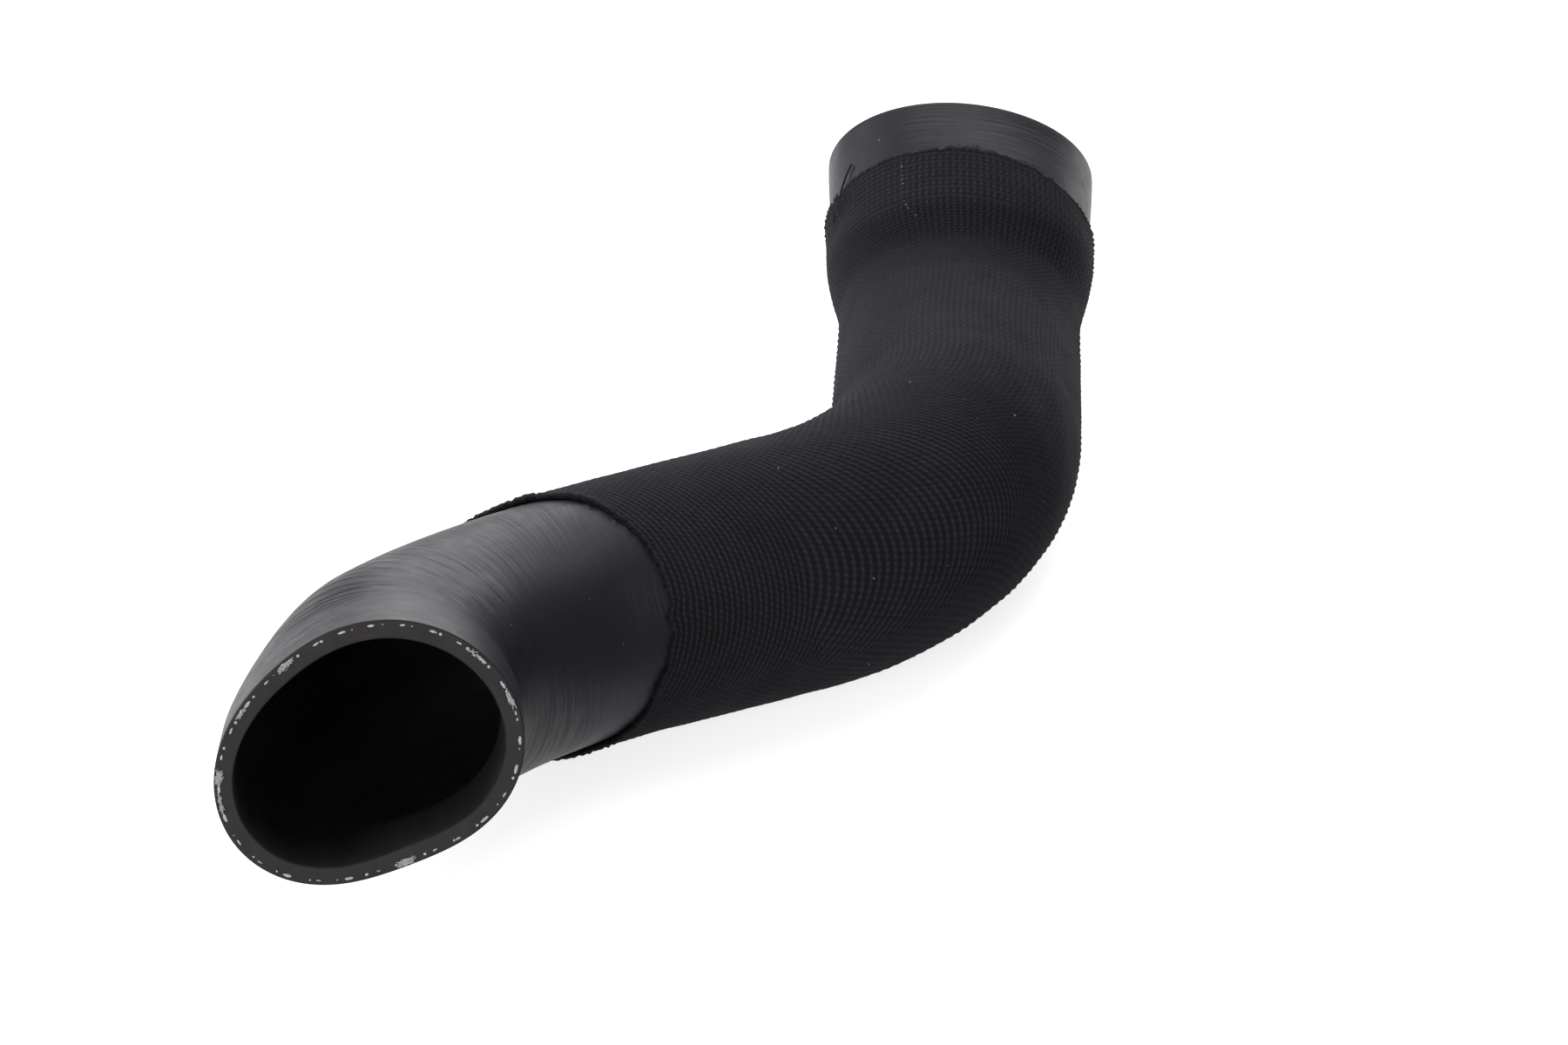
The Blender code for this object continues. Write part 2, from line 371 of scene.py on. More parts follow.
def bore_finish():
    """The bore: smooth from the mandrel, and dulled by the powder that let it slide off."""
    finish = Finish("powdered_bore")
    down_the_bore = finish.stretched(finish.attribute("straight"), 90.0, 30.0)
    bloom = finish.span(finish.noise(down_the_bore, 1.0, 4.0, 0.6), 0.3, 0.7)
    finish.join(finish.mix(bloom, (0.024, 0.024, 0.027), (0.046, 0.046, 0.050)), "Base Color")
    finish.join(finish.bump(finish.noise(finish.place(), 1800.0, 3.0), 0.03 * MM, 0.3), "Normal")
    finish.plain(Roughness=0.8, Specular_IOR_Level=0.2)
    return finish.material


def make_hose():
    """The wall as one skin: along the outside, over the far lip, back down the bore and round."""
    sides = 176
    length = HOSE_LENGTH
    covered_from, covered_to = 150 * MM, 335 * MM
    bare_row, covered_row = 0.8 * MM, 4 * MM
    outside = [(LIP_ROUND * 0.3, -LIP_ROUND * 0.3), (LIP_ROUND, 0.0)]
    # Close rows where the rubber is bare, and wide ones under the sleeve
    outside += [(d, 0.0) for d in np.arange(3 * LIP_ROUND, covered_from, bare_row)]
    outside += [(d, 0.0) for d in np.arange(covered_from, covered_to, covered_row)]
    outside += [(d, 0.0) for d in np.linspace(covered_to, length - 3 * LIP_ROUND, 34)]
    outside += [(length - LIP_ROUND, 0.0), (length - LIP_ROUND * 0.3, -LIP_ROUND * 0.3)]
    cut = [LIP_ROUND, 1.2 * LIP_ROUND, WALL / 2, WALL - 1.2 * LIP_ROUND, WALL - LIP_ROUND]
    far_face = [(length, -depth) for depth in cut]
    bore = [(length - LIP_ROUND * 0.3, -WALL + LIP_ROUND * 0.3), (length - LIP_ROUND, -WALL)]
    bore += [(d, -WALL) for d in np.linspace(length - 3 * LIP_ROUND, 3 * LIP_ROUND, 120)]
    bore += [(LIP_ROUND, -WALL), (LIP_ROUND * 0.3, -WALL + LIP_ROUND * 0.3)]
    near_face = [(0.0, -depth) for depth in reversed(cut)]
    profile = np.array(outside + far_face + bore + near_face)
    angle = round_the_hose(sides)[None]
    skin = (np.arange(len(profile)) < len(outside))[:, None]
    offset = profile[:, 1:] + skin * crease_height(profile[:, :1], angle)
    hose = loft("rubber_wall", on_hose(profile[:, :1], angle, offset), profile[:, 0], True)
    note(hose, "creased", creases(profile[:, :1], angle).ravel())
    hose.data.materials.append(rubber_finish())
    hose.data.materials.append(cut_rubber_finish())
    hose.data.materials.append(bore_finish())
    first_far = len(outside)
    first_near = len(outside + far_face + bore)
    finishes = np.zeros(len(profile), np.int32)
    finishes[first_far : first_far + len(cut) - 1] = 1
    finishes[first_far + len(cut) - 1 : first_near] = 2
    finishes[first_near : first_near + len(cut) - 1] = 1
    hose.data.polygons.foreach_set("material_index", np.repeat(finishes, sides))
    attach(hose, "root")
    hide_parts("rubber_hose")


make_hose()

# Thread ends
# The wall is reinforced by a pale polyester yarn, knitted in about a quarter of the way down. The
# knife cut it in pairs of ends all round both faces, and pulled some of them out into tufts.
THREAD_DEPTH = 0.27 * WALL
THREAD_ENDS = 58
FACE_POINTS = 240


class Forming(Nodes):
    """A geometry tree with named inputs for its sizes, which turns a piece into plain faces."""

    def __init__(self, name, sizes):
        super().__init__(bpy.data.node_groups.new(name, "GeometryNodeTree"))
        sockets = self.tree.interface
        sockets.new_socket("Mesh", in_out="INPUT", socket_type="NodeSocketGeometry")
        sockets.new_socket("Mesh", in_out="OUTPUT", socket_type="NodeSocketGeometry")
        for label, value in sizes.items():
            kind = "NodeSocketInt" if isinstance(value, int) else "NodeSocketFloat"
            sockets.new_socket(label, in_out="INPUT", socket_type=kind)
        self.sizes = sizes
        self.given = self.tree.nodes.new("NodeGroupInput").outputs
        self.mesh = self.given["Mesh"]

    def value(self, node):
        """The output that a node shows for its kind of number."""
        return next(found for found in node.outputs if found.enabled)

    def noted(self, name, kind):
        node = self.add("GeometryNodeInputNamedAttribute", {"Name": name}, data_type=kind)
        return socket(node.outputs, "Attribute")

    def chance(self, low, high, seed, kind="FLOAT"):
        inputs = {"Min": low, "Max": high, "Seed": seed}
        return self.value(self.add("FunctionNodeRandomValue", inputs, data_type=kind))

    def vector(self, operation, first, second=None, scale=None):
        inputs = {0: first}
        if second is not None:
            inputs[1] = second
        if scale is not None:
            inputs["Scale"] = scale
        return self.add("ShaderNodeVectorMath", inputs, operation=operation).outputs[0]

    def shifted(self, geometry, offset):
        return self.add("GeometryNodeSetPosition", {"Geometry": geometry, "Offset": offset}).outputs[0]

    def shaken(self, geometry, scale, reach):
        """Moves each point by a smooth noise, up to reach to each side."""
        place = self.add("GeometryNodeInputPosition").outputs[0]
        shake = self.add("ShaderNodeTexNoise", {"Vector": place, "Scale": scale, "Detail": 1.0}).outputs[1]
        shake = self.vector("SUBTRACT", shake, (0.5, 0.5, 0.5))
        return self.shifted(geometry, self.vector("SCALE", shake, scale=reach))

    def facing(self, vector, axis, rotation=None, pivot="AUTO"):
        inputs = {"Vector": vector}
        if rotation is not None:
            inputs["Rotation"] = rotation
        return self.add("FunctionNodeAlignRotationToVector", inputs, axis=axis, pivot_axis=pivot).outputs[0]

    def form(self, piece, geometry, material):
        """Ends the tree in plain faces of one material, and makes them the piece's mesh."""
        plain = self.add("GeometryNodeRealizeInstances", {"Geometry": geometry}).outputs[0]
        done = self.add("GeometryNodeSetMaterial", {"Geometry": plain, "Material": material}).outputs[0]
        self.tree.links.new(done, self.tree.nodes.new("NodeGroupOutput").inputs[0])
        modifier = piece.modifiers.new("forming", "NODES")
        modifier.node_group = self.tree
        for item in self.tree.interface.items_tree:
            if item.in_out == "INPUT" and item.name in self.sizes:
                modifier[item.identifier] = self.sizes[item.name]
        graph = bpy.context.evaluated_depsgraph_get()
        formed = bpy.data.meshes.new_from_object(piece.evaluated_get(graph), depsgraph=graph)
        piece.modifiers.clear()
        piece.data = formed
        return piece


def yarn_finish(name, dark, light, roughness=0.85):
    """Fine loose yarn, paler where its fibres catch the light."""
    finish = Finish(name)
    tone = finish.span(finish.noise(finish.place(), 900.0, 3.0, 0.6), 0.3, 0.7)
    finish.join(finish.mix(tone, dark, light), "Base Color")
    finish.join(finish.bump(finish.noise(finish.place(), 5200.0, 2.0), 0.05 * MM, 0.6), "Normal")
    finish.plain(Roughness=roughness, Specular_IOR_Level=0.3)
    return finish.material


PALE_YARN = yarn_finish("cut_polyester_yarn", (0.60, 0.60, 0.61), (0.86, 0.86, 0.87))


def drawn(name, points, edges, faces=()):
    """A plain piece from its points and what joins them."""
    mesh = bpy.data.meshes.new(name)
    mesh.from_pydata(np.asarray(points, float).tolist(), edges, faces)
    made = bpy.data.objects.new(name, mesh)
    bpy.context.scene.collection.objects.link(made)
    return made


def face_ring():
    """A closed line of points round both cut faces, where the yarn is buried."""
    angle = round_the_hose(FACE_POINTS)
    rings, outs = [], []
    for distance, sign in ((0.0, -1), (HOSE_LENGTH, 1)):
        rings.append(on_hose(distance, angle, -THREAD_DEPTH))
        _, ahead, _ = path_at(np.array([distance]))
        outs.append(np.repeat(sign * ahead @ TURN.T, FACE_POINTS, 0))
    edges = []
    for first in (0, FACE_POINTS):
        edges += [(first + i, first + (i + 1) % FACE_POINTS) for i in range(FACE_POINTS)]
    line = drawn("thread_ends", np.concatenate(rings), edges)
    note(line, "out", np.concatenate(outs))
    return line


def make_thread_ends():
    sizes = {"Ends": THREAD_ENDS, "Pair shift": 1.5 * MM, "End length": 0.95 * MM, "Seed": 4}
    steps = Forming("thread_ends", sizes)
    line = steps.add("GeometryNodeMeshToCurve", {"Mesh": steps.mesh}).outputs[0]
    line = steps.add("GeometryNodeResampleCurve", {"Curve": line, "Count": steps.given["Ends"]}).outputs[0]
    tangent = steps.add("GeometryNodeInputTangent").outputs[0]
    index = steps.add("GeometryNodeInputIndex").outputs[0]
    odd = steps.sum("MODULO", index, 2.0)
    slip = steps.sum("MULTIPLY", odd, steps.given["Pair shift"])
    slip = steps.sum("ADD", slip, steps.chance(-0.6 * MM, 0.6 * MM, steps.given["Seed"]))
    line = steps.shifted(line, steps.vector("SCALE", tangent, scale=slip))
    lump = steps.add("GeometryNodeMeshIcoSphere", {"Radius": 1.0, "Subdivisions": 2}).outputs[0]
    size = steps.sum("MULTIPLY", steps.chance(0.45, 1.15, 9), steps.given["End length"])
    long = steps.sum("MULTIPLY", size, steps.sum("MULTIPLY_ADD", odd, 0.75, 0.42))
    wide = steps.sum("MULTIPLY", size, 0.36)
    scale = steps.add("ShaderNodeCombineXYZ", {0: long, 1: wide, 2: 0.22 * MM}).outputs[0]
    turn = steps.facing(tangent, "X")
    turn = steps.facing(steps.noted("out", "FLOAT_VECTOR"), "Z", turn, "X")
    inputs = {"Points": line, "Instance": lump, "Rotation": turn, "Scale": scale}
    lumps = steps.add("GeometryNodeInstanceOnPoints", inputs).outputs[0]
    lumps = steps.add("GeometryNodeRealizeInstances", {"Geometry": lumps}).outputs[0]
    ends = steps.form(face_ring(), steps.shaken(lumps, 1500.0, 0.5 * MM), PALE_YARN)
    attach(ends, "root")


make_thread_ends()


def patches(name, places):
    """Small four-sided patches to grow yarn from, each with the way that its yarn lies."""
    corners, faces, lays = [], [], []
    for centre, lay, across, long, wide in places:
        for x, y in ((-1, -1), (1, -1), (1, 1), (-1, 1)):
            corners.append(centre + lay * (x * long / 2) + across * (y * wide / 2))
            lays.append(lay)
        faces.append(tuple(range(len(corners) - 4, len(corners))))
    patch = drawn(name, corners, [], faces)
    note(patch, "lay", np.array(lays))
    return patch


def grow_yarn(patch, sizes, material):
    """Loose bent strands, scattered over a patch and lying roughly along its "lay"."""
    steps = Forming(patch.name, sizes)
    inputs = {"Mesh": steps.mesh, "Density": steps.given["Strands per m2"], "Seed": steps.given["Seed"]}
    roots = steps.add("GeometryNodeDistributePointsOnFaces", inputs)
    spread = steps.chance((-1, -1, -1), (1, 1, 1), 3, "FLOAT_VECTOR")
    spread = steps.vector("SCALE", spread, scale=steps.given["Spread"])
    way = steps.vector("ADD", steps.noted("lay", "FLOAT_VECTOR"), spread)
    long = steps.sum("MULTIPLY", steps.chance(0.35, 1.25, 5), steps.given["Strand length"])
    scale = steps.add("ShaderNodeCombineXYZ", {0: 1.0, 1: 1.0, 2: long}).outputs[0]
    inputs = {"Start": (0, 0, -0.5), "End": (0, 0, 0.5)}
    strand = steps.add("GeometryNodeCurvePrimitiveLine", inputs).outputs[0]
    strand = steps.add("GeometryNodeResampleCurve", {"Curve": strand, "Count": 6}).outputs[0]
    turn = steps.facing(way, "Z")
    inputs = {"Points": roots.outputs["Points"], "Instance": strand, "Rotation": turn, "Scale": scale}
    strands = steps.add("GeometryNodeInstanceOnPoints", inputs).outputs[0]
    strands = steps.add("GeometryNodeRealizeInstances", {"Geometry": strands}).outputs[0]
    strands = steps.shaken(strands, 700.0, steps.given["Curl"])
    inputs = {"Resolution": 3, "Radius": steps.given["Strand radius"]}
    section = steps.add("GeometryNodeCurvePrimitiveCircle", inputs)
    inputs = {"Curve": strands, "Profile Curve": section.outputs[0], "Fill Caps": True}
    return steps.form(patch, steps.add("GeometryNodeCurveToMesh", inputs).outputs[0], material)


# Side in degrees, length and width in mm of each tuft on the mouth's face
TUFTS = (
    (355.5, 5.0, 1.9),
    (94.5, 3.4, 2.0),
    (152.0, 5.6, 1.3),
    (262.0, 5.0, 1.3),
    (240.5, 6.0, 0.7),
    (85.0, 6.0, 0.8),
    (122.5, 3.2, 0.9),
)


def make_tufts():
    places = []
    _, ahead, _ = path_at(np.array([0.0]))
    out = -(ahead @ TURN.T)[0]
    for side, long, wide in TUFTS:
        spot = np.radians([side - 1, side, side + 1])
        before, centre, after = on_hose(0.0, spot, -THREAD_DEPTH)
        lay = (after - before) / np.linalg.norm(after - before)
        places.append((centre + out * 0.12 * MM, lay, np.cross(out, lay), long * 0.6 * MM, wide * 0.6 * MM))
    sizes = {"Strands per m2": 2.2e7, "Spread": 0.55, "Strand length": 2.3 * MM}
    sizes.update({"Strand radius": 0.11 * MM, "Curl": 0.9 * MM, "Seed": 11})
    tufts = grow_yarn(patches("thread_tufts", places), sizes, PALE_YARN)
    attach(tufts, "root")


make_tufts()

# Textile sleeve
# A knitted polyester stocking, drawn over the bare rubber while it was held straight, so that its
# courses run at a slant down the leg and fan out round the main bend. Both edges were cut hot.
SLEEVE_START = 114.0 * MM
SLEEVE_END = HOSE_LENGTH - 24.0 * MM
SLEEVE_GAP = 0.3 * MM
KNIT_THICKNESS = 0.7 * MM
COURSES = 159
WALES = 124
COURSE_RELIEF = 0.36 * MM
STITCH_RELIEF = 0.30 * MM
WALE_RELIEF = 0.34 * MM
DRAG_HEADING = math.radians(-78.0)
DRAG_RISES = (math.radians(29.0), math.radians(109.0))
NEAR_LEAN = 0.95
FAR_LEAN = 0.21
# Sides in degrees: a notch in the near edge, and where the far edge dips and stands off in a lip
NOTCH_SIDE, DIP_SIDE, LIP_SIDE = 268, 142, 138


def slanted(station, angle):
    """Where a course that starts at a station lies along the hose, on each side of it."""
    _, ahead, side = path_at(station)
    ahead, side = ahead @ TURN.T, side @ TURN.T
    rise = DRAG_RISES[0] + (DRAG_RISES[1] - DRAG_RISES[0]) * smooth_step(station, NECK_START, SLEEVE_END)
    level = np.cos(rise)
    drag = np.stack([level * math.cos(DRAG_HEADING), level * math.sin(DRAG_HEADING), np.sin(rise)], -1)
    across = drag - ahead * np.sum(ahead * drag, -1, keepdims=True)
    across = across / np.linalg.norm(across, axis=-1, keepdims=True)
    lean = NEAR_LEAN * smooth_step(station, 0.0, SLEEVE_START)
    lean = lean + (FAR_LEAN - NEAR_LEAN) * smooth_step(station, LEG_END, NECK_START)
    reach = (lean - FAR_LEAN * smooth_step(station, SLEEVE_END, HOSE_LENGTH)) * LEG_RADIUS
    radial = turned(side, ahead, angle)
    return station + reach * np.sum(radial * across, -1)


def ragged(angle, seed):
    """The uneven line of a hot-cut edge, about -1 to 1, closing round the hose."""
    dice = np.random.default_rng(seed)
    line = 0.0
    for times in range(3, 110):
        line = line + dice.normal() / times**0.35 * np.sin(times * angle + dice.uniform(0, 2 * math.pi))
    return line / 4.2


def near(angle, side, spread):
    away = (np.degrees(angle) - side + 180) % 360 - 180
    return np.exp(-((away / spread) ** 2))


def knit_finish():
    """Near-black polyester yarn, matt, with painted highlight on its crests and painted shade between them,
    and dusty in places.
    """
    finish = Finish("knitted_textile")
    place, straight = finish.place(), finish.attribute("straight")
    height = finish.attribute("crest", "Fac")
    fuzz = finish.noise(place, 2900.0, 3.0, 0.7)
    twist = finish.noise(finish.stretched(straight, 700.0, 1500.0), 1.0, 2.0, 0.6)
    rough = finish.bump(twist, 0.16 * MM, 0.6)
    finish.join(finish.bump(fuzz, 0.10 * MM, 0.5, rough), "Normal")
    tone = finish.span(finish.noise(place, 26.0, 4.0, 0.6), 0.3, 0.7)
    # Painted shade and highlight: the colour runs from dark in the knit's valleys to pale on its crests,
    # after each point's relief height
    dark = finish.mix(tone, (0.0066, 0.0061, 0.0080), (0.0105, 0.0098, 0.0124))
    light = finish.mix(tone, (0.037, 0.035, 0.046), (0.057, 0.054, 0.069))
    share = finish.sum("MULTIPLY", finish.span(height, 0.3, 1.0), finish.span(twist, 0.3, 0.65, 0.45, 1.0))
    finish.join(finish.mix(share, dark, light), "Base Color")
    finish.plain(Roughness=0.86, Specular_IOR_Level=0.3)
    finish.plain(Sheen_Weight=0.08, Sheen_Roughness=0.5, Sheen_Tint=(0.6, 0.57, 0.66, 1.0))
    return finish.material


def edge_frame(station, angle):
    """How far each point of the knit strays along the hose, and how far it stands off it."""
    from_near = station - SLEEVE_START
    from_far = SLEEVE_END - station
    stray = 0.45 * MM * wander(station / (9 * MM), 3 * np.cos(angle), 21)
    stray = stray * smooth_step(np.minimum(from_near, from_far), 0, 12 * MM)
    stray = stray + (1 - smooth_step(from_near, 0, 3 * MM)) * 0.5 * MM * ragged(angle, 5)
    stray = stray - (1 - smooth_step(from_near, 0, 9 * MM)) * 1.1 * MM * near(angle, NOTCH_SIDE, 5)
    stray = stray + (1 - smooth_step(from_far, 0, 3 * MM)) * 0.85 * MM * ragged(angle, 6)
    stray = stray - (1 - smooth_step(from_far, 0, 10 * MM)) * 2.2 * MM * near(angle, DIP_SIDE, 13)
    at_near_edge = np.exp(-(((from_near - 0.6 * MM) / (0.9 * MM)) ** 2))
    at_far_edge = np.exp(-(((from_far - 0.4 * MM) / (0.8 * MM)) ** 2))
    bead = (0.5 + 0.3 * ragged(angle, 9)) * MM * at_near_edge
    bead = bead + (0.15 + 0.15 * ragged(angle, 10)) * MM * at_far_edge
    lip = (1.1 + 0.5 * ragged(angle, 12)) * MM * near(angle, LIP_SIDE, 17)
    lip = lip * (1 - smooth_step(from_far, 0, 11 * MM))
    loose = 0.12 * MM * (1 + wander(station / (14 * MM), 2.2 * np.cos(angle - 1), 40))
    loose = loose * smooth_step(np.minimum(from_near, from_far), 0, 25 * MM)
    return stray, bead + lip + loose


def make_sleeve():
    """A fine skin with two rows to each course, shaped into stitches, and a plain lining."""
    sides = 2 * WALES
    angle = round_the_hose(sides)[None]
    station = np.linspace(SLEEVE_START, SLEEVE_END, 2 * COURSES + 1)[:, None]
    station, angle = np.broadcast_arrays(station, angle)
    stray, stand = edge_frame(station, angle)
    sway = 0.022 * wander(station / (6 * MM), 2 * np.sin(angle), 33)
    outer = on_hose(slanted(station + stray, angle), angle + sway, SLEEVE_GAP + KNIT_THICKNESS + stand)
    lining_station = np.linspace(SLEEVE_END, SLEEVE_START, 40)[:, None]
    lining_station, lining_angle = np.broadcast_arrays(lining_station, angle[:1])
    stray, stand = edge_frame(lining_station, lining_angle)
    stand = SLEEVE_GAP + np.maximum(stand, 0) * 0.6
    lining = on_hose(slanted(lining_station + stray, lining_angle), lining_angle, stand)
    rows = np.concatenate([station[:, 0], lining_station[:, 0]])
    sleeve = loft("knit_sleeve", np.concatenate([outer, lining]), rows, True)
    row = np.broadcast_to(np.arange(station.shape[0])[:, None], station.shape)
    column = np.broadcast_to(np.arange(sides)[None], station.shape)
    inside = np.zeros(lining.shape[:2])
    note(sleeve, "course", np.concatenate([row % 2, inside]).ravel())
    note(sleeve, "stitch", np.concatenate([(row % 2) * ((column + row // 2) % 2), inside]).ravel())
    note(sleeve, "wale", np.concatenate([column % 2, inside]).ravel())
    # Past the main bend the stocking slackens in patches, which show its wales more than its courses
    slack = 0.45 + 1.3 * wander(station / (8 * MM), 2.6 * np.cos(angle - 1.0), 51)
    slack = np.clip(slack, 0, 1) * smooth_step(station, LEG_END - 20 * MM, NECK_START)
    note(sleeve, "slack", np.concatenate([slack, inside]).ravel())

    sizes = {"Course height": COURSE_RELIEF, "Stitch height": STITCH_RELIEF}
    sizes.update({"Wale height": WALE_RELIEF, "Unevenness": 0.6})
    steps = Forming("knit_relief", sizes)
    course, stitch = steps.noted("course", "FLOAT"), steps.noted("stitch", "FLOAT")
    slack = steps.noted("slack", "FLOAT")
    taut = steps.sum("MULTIPLY_ADD", slack, -0.75, 1.0)
    course = steps.sum("MULTIPLY", course, taut)
    wale = steps.sum("MULTIPLY", steps.noted("wale", "FLOAT"), slack)
    height = steps.sum("MULTIPLY", course, steps.given["Course height"])
    height = steps.sum("MULTIPLY_ADD", wale, steps.given["Wale height"], height)
    height = steps.sum("MULTIPLY_ADD", stitch, steps.given["Stitch height"], height)
    straight = steps.noted("straight", "FLOAT_VECTOR")
    even = steps.sum("SUBTRACT", steps.noise(straight, 110.0, 2.0), 0.5)
    even = steps.sum("MULTIPLY", even, steps.given["Unevenness"])
    even = steps.sum("MULTIPLY", steps.sum("ADD", even, 0.5), 2.0)
    height = steps.sum("MULTIPLY", height, even)
    normal = steps.add("GeometryNodeInputNormal").outputs[0]
    knit = steps.shifted(steps.mesh, steps.vector("SCALE", normal, scale=height))
    # Its own weight presses the knit flat where it lies on the table
    place = steps.add("GeometryNodeInputPosition").outputs[0]
    lifted = steps.vector("MAXIMUM", place, (-1.0, -1.0, 0.0))
    knit = steps.add("GeometryNodeSetPosition", {"Geometry": knit, "Position": lifted}).outputs[0]
    # Each point's height in the knit, which the material turns into painted shade in the valleys and painted
    # highlight on the crests
    crest = steps.sum("MULTIPLY_ADD", course, 0.62, steps.sum("MULTIPLY", stitch, 0.38))
    crest = steps.sum("MULTIPLY_ADD", wale, 0.5, crest)
    inputs = {"Geometry": knit, "Name": "crest", "Value": crest}
    knit = steps.add("GeometryNodeStoreNamedAttribute", inputs, data_type="FLOAT", domain="POINT").outputs[0]
    steps.form(sleeve, knit, knit_finish())
    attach(sleeve, "root")
    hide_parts("textile_sleeve")


make_sleeve()

# Edge fray
# Short ends of the sleeve's yarn that the hot knife missed. They stick out past both cut edges, with
# a browned tuft on the near edge where the blade dwelt.


def edge_patches(name, station, sides, outward, back):
    """Patches along a cut edge, whose yarn points past it and a little away from the rubber."""
    places = []
    for side in sides:
        spot = np.radians([side - 1.4, side, side + 1.4])
        stray, stand = edge_frame(np.full(3, station), spot)
        stray = stray + station + back
        stand = SLEEVE_GAP + 0.35 * MM + np.maximum(stand, 0)
        before, centre, after = on_hose(slanted(stray, spot), spot, stand)
        past = on_hose(slanted(stray[1:2] + outward, spot[1:2]), spot[1:2], SLEEVE_GAP + 0.8 * MM)[0]
        lay = (past - centre) / np.linalg.norm(past - centre)
        across = (after - before) / np.linalg.norm(after - before)
        across = across - lay * np.dot(across, lay)
        places.append((centre, lay, across / np.linalg.norm(across), 0.7 * MM, 1.9 * MM))
    return patches(name, places)


def make_fray():
    black = yarn_finish("frayed_knit_yarn", (0.006, 0.0055, 0.006), (0.016, 0.015, 0.016))
    brown = yarn_finish("scorched_yarn", (0.020, 0.015, 0.012), (0.075, 0.055, 0.040))
    grey = yarn_finish("grey_tuft_yarn", (0.03, 0.03, 0.032), (0.11, 0.11, 0.12))
    every = np.arange(0, 360, 3.2)
    sizes = {"Strands per m2": 3.2e6, "Spread": 1.0, "Strand length": 1.9 * MM}
    sizes.update({"Strand radius": 0.12 * MM, "Curl": 1.3 * MM, "Seed": 2})
    near_fray = edge_patches("near_edge_fray", SLEEVE_START, every, -1.0 * MM, 0.2 * MM)
    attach(grow_yarn(near_fray, sizes, black), "root")
    sizes.update({"Strands per m2": 2.0e6, "Strand length": 1.0 * MM, "Seed": 7})
    far_fray = edge_patches("far_edge_fray", SLEEVE_END, every, 0.8 * MM, -0.3 * MM)
    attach(grow_yarn(far_fray, sizes, black), "root")
    sizes.update({"Strands per m2": 6.0e6, "Strand length": 2.2 * MM, "Strand radius": 0.1 * MM, "Seed": 3})
    scorched = edge_patches("scorched_tuft", SLEEVE_START, np.arange(214, 236, 3.2), -0.2 * MM, 1.3 * MM)
    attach(grow_yarn(scorched, sizes, brown), "root")
    sizes.update({"Strands per m2": 8.0e6, "Strand length": 1.6 * MM, "Strand radius": 0.09 * MM, "Seed": 13})
    tuft = edge_patches("far_edge_tuft", SLEEVE_END, np.arange(208, 215, 3.2), 1.0 * MM, 0.1 * MM)
    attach(grow_yarn(tuft, sizes, grey), "root")


make_fray()

# Edge shadow strand
# A thin black strand from the far edge's lifted lip across the bare cuff: painted shadow, a dark piece laid
# where the lip's shadow falls on the rubber.
# Its places: distance from the mouth in mm, side in degrees, and how far off the rubber in mm.
EDGE_SHADOW_STRAND_PATH = (
    (349.0, 138.7, 1.9),
    (352.5, 141.3, 1.7),
    (356.7, 145.4, 1.2),
    (360.2, 149.3, 0.9),
    (363.2, 153.6, 0.6),
)


def make_edge_shadow_strand():
    distance, side, stand = np.array(EDGE_SHADOW_STRAND_PATH).T
    points = on_hose(distance * MM, np.radians(side), stand * MM)
    line = drawn("loose_yarn", points, [(i, i + 1) for i in range(len(points) - 1)])
    steps = Forming("loose_yarn", {"Yarn radius": 0.28 * MM, "Waver": 0.25 * MM})
    yarn = steps.add("GeometryNodeMeshToCurve", {"Mesh": steps.mesh}).outputs[0]
    yarn = steps.add("GeometryNodeResampleCurve", {"Curve": yarn, "Count": 24}).outputs[0]
    yarn = steps.shaken(yarn, 600.0, steps.given["Waver"])
    inputs = {"Resolution": 6, "Radius": steps.given["Yarn radius"]}
    section = steps.add("GeometryNodeCurvePrimitiveCircle", inputs)
    inputs = {"Curve": yarn, "Profile Curve": section.outputs[0], "Fill Caps": True}
    tube = steps.add("GeometryNodeCurveToMesh", inputs).outputs[0]
    # Painted shadow: the strand's near-black colour stands in for the lip's shadow on the rubber
    black = yarn_finish("loose_black_yarn", (0.005, 0.005, 0.006), (0.012, 0.012, 0.014))
    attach(steps.form(line, tube, black), "root")


make_edge_shadow_strand()

# Tracer thread
# One wale of the stocking is knitted with a paler thread, which shows as a row of faint dots up the
# neck, plainest near the outlet. Its places: distance from the mouth in mm, and side in degrees.
TRACER_PATH = (
    (357.0, 181.0),
    (341.8, 182.3),
    (336.5, 186.0),
    (329.7, 190.3),
    (322.7, 192.7),
    (312.9, 186.7),
    (289.6, 179.7),
    (265.7, 174.3),
    (244.2, 185.3),
    (236.6, 194.7),
    (224.1, 186.7),
    (212.5, 169.7),
)


